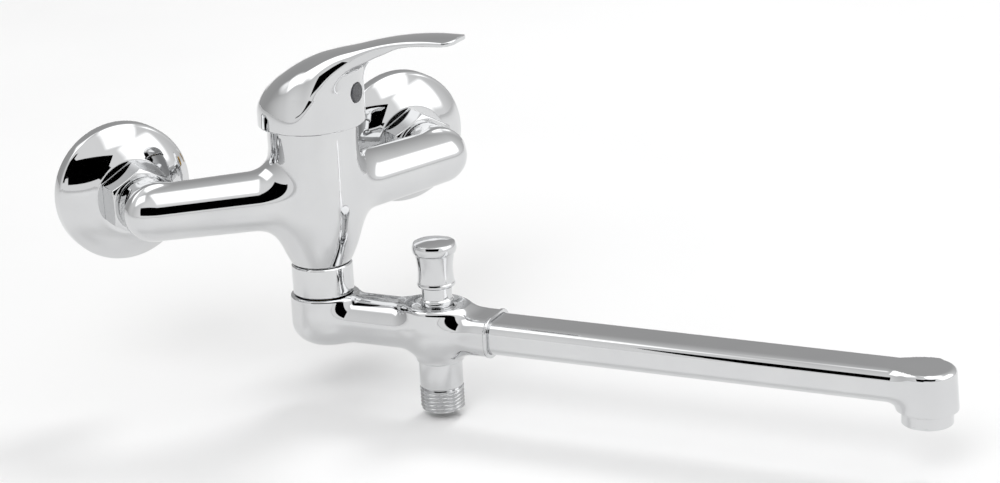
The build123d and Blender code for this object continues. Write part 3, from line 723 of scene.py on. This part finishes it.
def spout_field(x, y, z):
    """Thin walled rounded-rectangle tube that runs into an upright, slightly flared outlet head."""
    head_rho = np.hypot(x - spout_reach, y)
    section = rounded_box(y, z - spout_level, tube_half_width, tube_half_height, tube_corner)
    tube_part = np.maximum(section, np.maximum(86.0 - x, x - spout_reach))
    flare = head_radius + (head_top - z) * head_flare
    head = round_meet((head_rho - flare) * 0.998, z - head_top, 2.6)
    shape = blend_union(tube_part, head, 5.0)
    shape = np.maximum(shape, z - head_top)
    shape = round_meet(shape, head_bottom - z, 0.5)
    hollow = rounded_box(
        y, z - spout_level,
        tube_half_width - tube_wall, tube_half_height - tube_wall, tube_corner - tube_wall,
    )
    hollow = np.maximum(hollow, x - spout_reach + 13.5)
    shape = cut(shape, hollow, 0.3)
    shape = cut(shape, bar(head_rho, z, 11.05, -90.0, -63.4, 0.1), 0.3)
    return cut(shape, bar(head_rho, z, 9.0, -64.0, -56.4, 0.1), 0.2)


cast_piece(
    "spout_casting", spout_field, (86, -15, -74), (315, 15, -53), 0.56, spout_frame, "spout", ["spout_tube"],
    "polished_chrome",
)


def aerator_field(x, y, z):
    """Threaded ring that holds the insert, with two flats for its key."""
    rho = np.hypot(x, y)
    shape = bar(rho, z, 11.0, -75.0, -65.4, 0.3)
    flats = np.maximum(10.9 - np.abs(y), z + 78.8)
    shape = np.minimum(shape, cut(bar(rho, z, 11.6, -79.8, -73.5, 0.5), flats, 0.1))
    shape = cut(shape, bar(rho, z, 9.7, -78.9, -60.0, 0.1), 0.2)
    return cut(shape, bar(rho, z, 8.8, -90.0, -70.0, 0.1), 0.4)


cast_piece(
    "aerator_ring", aerator_field, (-12, -12, -80), (12, 12, -65), 0.3, outlet_frame, "spout",
    ["aerator_housing"], "polished_chrome",
)


# Shower outlet with its thread, bonnet and knob

thread_low = -102.5
thread_high = -91.5
thread_levels = np.arange(thread_low + 0.1, thread_high, 0.1)
shower_outline = rounded_profile(
    [(6.5, -73.0), (6.5, thread_low, 0.4), (9.5, thread_low)]
    + [(half_inch - max(0, 1.0 - (h - thread_low)), h) for h in thread_levels]
    + [(half_inch, thread_high), (9.7, thread_high), (9.7, -90.7, 0.2), (10.35, -90.5, 0.3)]
    + [(10.35, -78.05, 0.15), (8.6, -78.05), (8.6, -73.0)]
)


def shower_thread(r, h, theta):
    on_thread = (h > thread_low + 0.05) & (h < thread_high - 0.05) & (r > 9.0)
    ridged = screw_radius(h, theta, half_inch, thread_low - 0.6, thread_high)
    return np.where(on_thread, np.minimum(r, ridged), r)


turned_piece(
    "shower_outlet_tail", shower_outline, diverter_frame, "spout", ["shower_outlet_nipple"],
    "polished_chrome", radius_at=shower_thread,
)

bonnet_outline = rounded_profile([
    (3.05, -54.5), (7.0, -54.5), (7.0, -49.55), (7.9, -49.55, 0.15), (7.9, -47.6, 0.5), (7.2, -46.8, 0.4),
    (7.2, -30.3, 0.4), (5.2, -30.3, 0.2), (5.2, -43.0), (3.05, -43.0),
])
turned_piece("bonnet_sleeve", bonnet_outline, diverter_frame, "spout", ["diverter_bonnet"], "polished_chrome")

knob_outline = (
    [(0, -21.6), (2.55, -21.6), (2.55, -28.5), (7.5, -28.5), (7.5, -41.0), (8.4, -41.0)]
    + arc((8.5, -40.95), (9.1, -39.9), (8.75, -38.9), 9)
    + arc((8.7, -38.7), (8.4, -31.5), (9.35, -25.2), 20)
    + arc((9.45, -24.95), (9.75, -24.55), (10.1, -24.3), 5)
    + arc((10.15, -24.2), (10.55, -21.8), (9.9, -19.7), 12)
    + arc((9.75, -19.55), (5.2, -18.65), (0, -18.4), 12)
)
turned_piece(
    "diverter_knob_cap", knob_outline, diverter_frame, "diverter_plunger", ["diverter_knob"],
    "polished_chrome",
)


# Floor, lights and camera

def flat_sheet(name, size, place, finish, camera_sees=True):
    """Stage sheet of a given width and depth, facing local +Z."""
    w, d = size[0] / 2, size[1] / 2
    mesh = bpy.data.meshes.new(name)
    mesh.from_pydata([(-w, -d, 0), (w, -d, 0), (w, d, 0), (-w, d, 0)], [], [(0, 1, 2, 3)])
    for corner, uv in zip(mesh.uv_layers.new().data, ((0, 0), (1, 0), (1, 1), (0, 1))):
        corner.uv = uv
    mesh.materials.append(finish)
    sheet = bpy.data.objects.new(name, mesh)
    sheet.matrix_world = place
    bpy.context.scene.collection.objects.link(sheet)
    sheet.visible_camera = camera_sees
    sheet.visible_shadow = camera_sees
    sheet.visible_diffuse = camera_sees


def aimed(position, target=(0.0, -0.12, -0.02)):
    """Placement whose local +Z looks at the target."""
    away = Vector(target) - Vector(position)
    return Matrix.Translation(position) @ away.to_track_quat("Z", "Y").to_matrix().to_4x4()


def in_direction(azimuth, elevation, distance):
    """Position seen from the faucet: azimuth 0 is straight out of the wall, positive to the right."""
    a, e = radians(azimuth), radians(elevation)
    return (distance * sin(a) * cos(e), -0.1 - distance * cos(a) * cos(e), distance * sin(e))


def maths(tree, operation, first, second):
    """Math node fed by another node and by either a number or a second node."""
    node = tree.nodes.new("ShaderNodeMath")
    node.operation = operation
    tree.links.new(first.outputs[0], node.inputs[0])
    if isinstance(second, float):
        node.inputs[1].default_value = second
    else:
        tree.links.new(second.outputs[0], node.inputs[1])
    return node


def glowing(name, strength, soft_edge=0.0):
    """Glow for a sheet; soft_edge is the share of its half width over which it fades out."""
    made, tree, shader = new_material(name)
    tree.nodes.remove(shader)
    glow = tree.nodes.new("ShaderNodeEmission")
    glow.inputs["Strength"].default_value = strength
    if not soft_edge:
        link(tree, glow, 0, tree.nodes["Material Output"], "Surface")
        return made
    place = tree.nodes.new("ShaderNodeTexCoord")
    split = tree.nodes.new("ShaderNodeSeparateXYZ")
    link(tree, place, "UV", split, "Vector")
    fades = []
    for axis in ("X", "Y"):
        centred = tree.nodes.new("ShaderNodeMapRange")
        centred.inputs["To Min"].default_value = -1.0
        link(tree, split, axis, centred, "Value")
        span = maths(tree, "ABSOLUTE", centred, 0.0)
        fade = mapped(tree, span, 1.0, 0.0, 1.0 - soft_edge, 1.0)
        fade.interpolation_type = "SMOOTHSTEP"
        fades.append(fade)
    blend = tree.nodes.new("ShaderNodeMixShader")
    tree.links.new(maths(tree, "MULTIPLY", *fades).outputs[0], blend.inputs[0])
    tree.links.new(tree.nodes.new("ShaderNodeBsdfTransparent").outputs[0], blend.inputs[1])
    tree.links.new(glow.outputs[0], blend.inputs[2])
    link(tree, blend, 0, tree.nodes["Material Output"], "Surface")
    return made


floor_material = detailed(
    "pale_floor", (0.88, 0.88, 0.88), (0.9, 0.9, 0.9), 0.0, (0.7, 0.9), 2, 4, 30, 0.02
)
floor_height = cad_box[0][2] - 0.004
flat_sheet("floor", (60, 60), Matrix.Translation((0, 0, floor_height)), floor_material)
black_card = glowing("black_card", 0.0)
white_panel = glowing("white_panel", 1.9, 0.35)
flat_sheet("card_left", (3.4, 1.55), aimed(in_direction(-38, 24, 2.6)), black_card, False)
flat_sheet("panel_right", (3.2, 2.1), aimed(in_direction(48, 28, 2.4)), white_panel, False)
flat_sheet("panel_top", (1.9, 2.5), Matrix.Translation((0.5, -0.8, 1.9)), white_panel, False)
flat_sheet("panel_back", (2.1, 1.6), aimed(in_direction(-128, 50, 2.2)), white_panel, False)

world = bpy.data.worlds.new("studio")
world.use_nodes = True
bpy.context.scene.world = world
tree = world.node_tree
sky = tree.nodes["Background"]
place = tree.nodes.new("ShaderNodeTexCoord")
split = tree.nodes.new("ShaderNodeSeparateXYZ")
link(tree, place, "Generated", split, "Vector")
shade = tree.nodes.new("ShaderNodeMapRange")
shade.inputs["From Min"].default_value = -0.3
shade.inputs["From Max"].default_value = 0.8
shade.inputs["To Min"].default_value = 0.95
shade.inputs["To Max"].default_value = 0.42
link(tree, split, "Y", shade, "Value")
link(tree, shade, 0, sky, "Color")
sky.inputs["Strength"].default_value = 1.0


def soft_light(name, position, size, power):
    lamp = bpy.data.lights.new(name, "AREA")
    lamp.shape = "DISK"
    lamp.size = size
    lamp.energy = power
    made = bpy.data.objects.new(name, lamp)
    made.matrix_world = aimed(position) @ Matrix.Rotation(pi, 4, "X")
    made.visible_glossy = False
    bpy.context.scene.collection.objects.link(made)


soft_light("key_light", (1.1, 0.5, 1.7), 0.7, 12)
soft_light("fill_light", (-1.2, -1.4, 1.6), 1.2, 16)

camera_place = (-0.52316, -1.22757, 0.38258)
yaw, pitch, roll = radians(28.05), radians(18.27), radians(-2.86)
look = Vector((sin(yaw) * cos(pitch), cos(yaw) * cos(pitch), -sin(pitch)))
level_right = Vector((cos(yaw), -sin(yaw), 0))
level_up = level_right.cross(look)
right = level_right * cos(roll) + level_up * sin(roll)
up = level_up * cos(roll) - level_right * sin(roll)
camera_data = bpy.data.cameras.new("camera")
camera_data.sensor_width = 36.0
camera_data.lens = 100.8
camera = bpy.data.objects.new("camera", camera_data)
turn = Matrix((right, up, -look)).transposed().to_4x4()
camera.matrix_world = Matrix.Translation(camera_place) @ turn
bpy.context.scene.collection.objects.link(camera)
bpy.context.scene.camera = camera
bpy.context.scene.view_settings.view_transform = "Standard"
